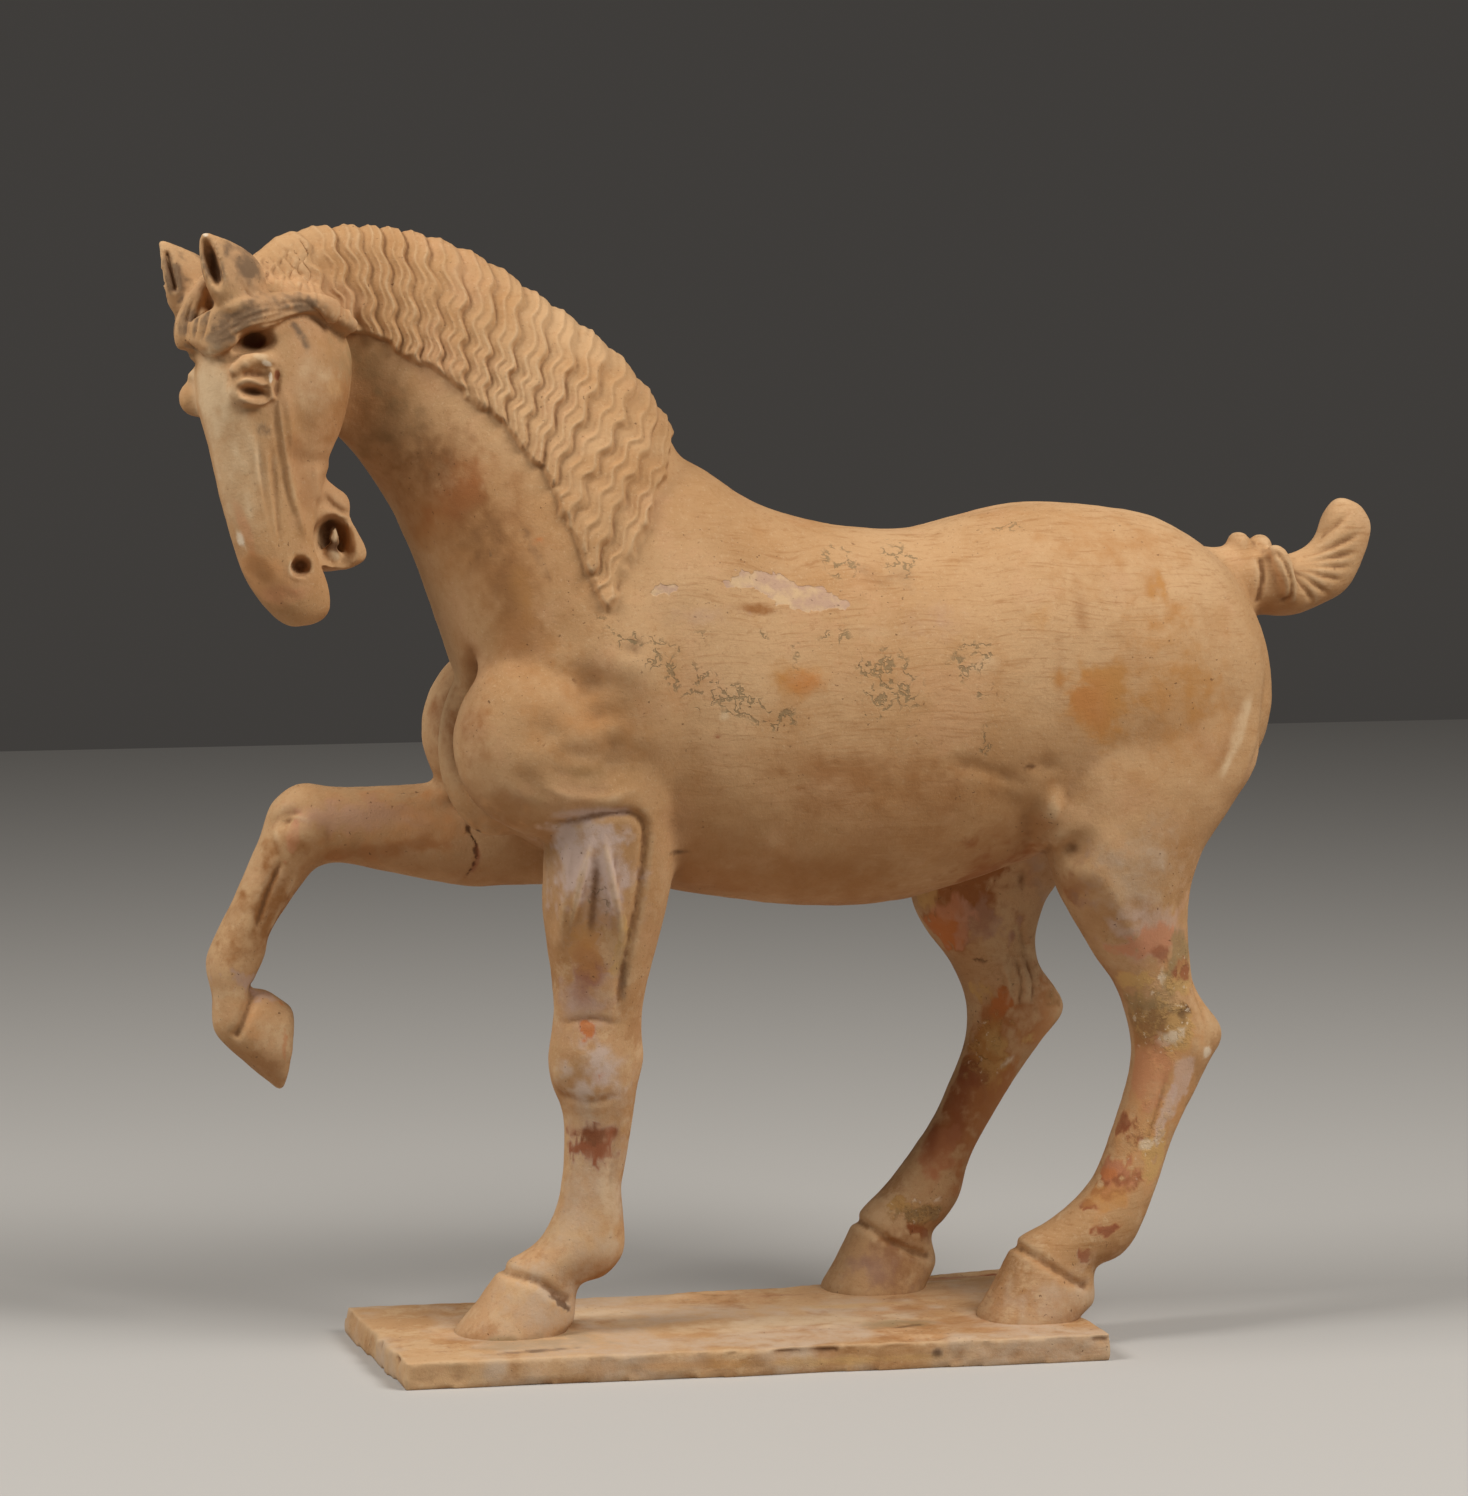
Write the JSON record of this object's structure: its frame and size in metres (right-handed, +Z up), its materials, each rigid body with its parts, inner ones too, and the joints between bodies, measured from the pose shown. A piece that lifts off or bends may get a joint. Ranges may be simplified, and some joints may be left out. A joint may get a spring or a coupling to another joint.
{
  "type": "pottery horse figure",
  "caption": "Unglazed pottery figure of a dancing horse with one foreleg raised, head tucked and tail curled up, on a thin slab base.",
  "frame": {"origin": "centre of the slab's underside between its front and rear edges and its long sides", "axes": "-X the way the horse faces, -Y its left side, +Z up"},
  "size_m": [0.5551, 0.1563, 0.4991],
  "materials": {
    "buff_earthenware": "unglazed, matt, with worn slip and burial stains"
  },
  "bodies": {
    "root": {"dancing_horse": "buff_earthenware"}
  },
  "joints": []
}
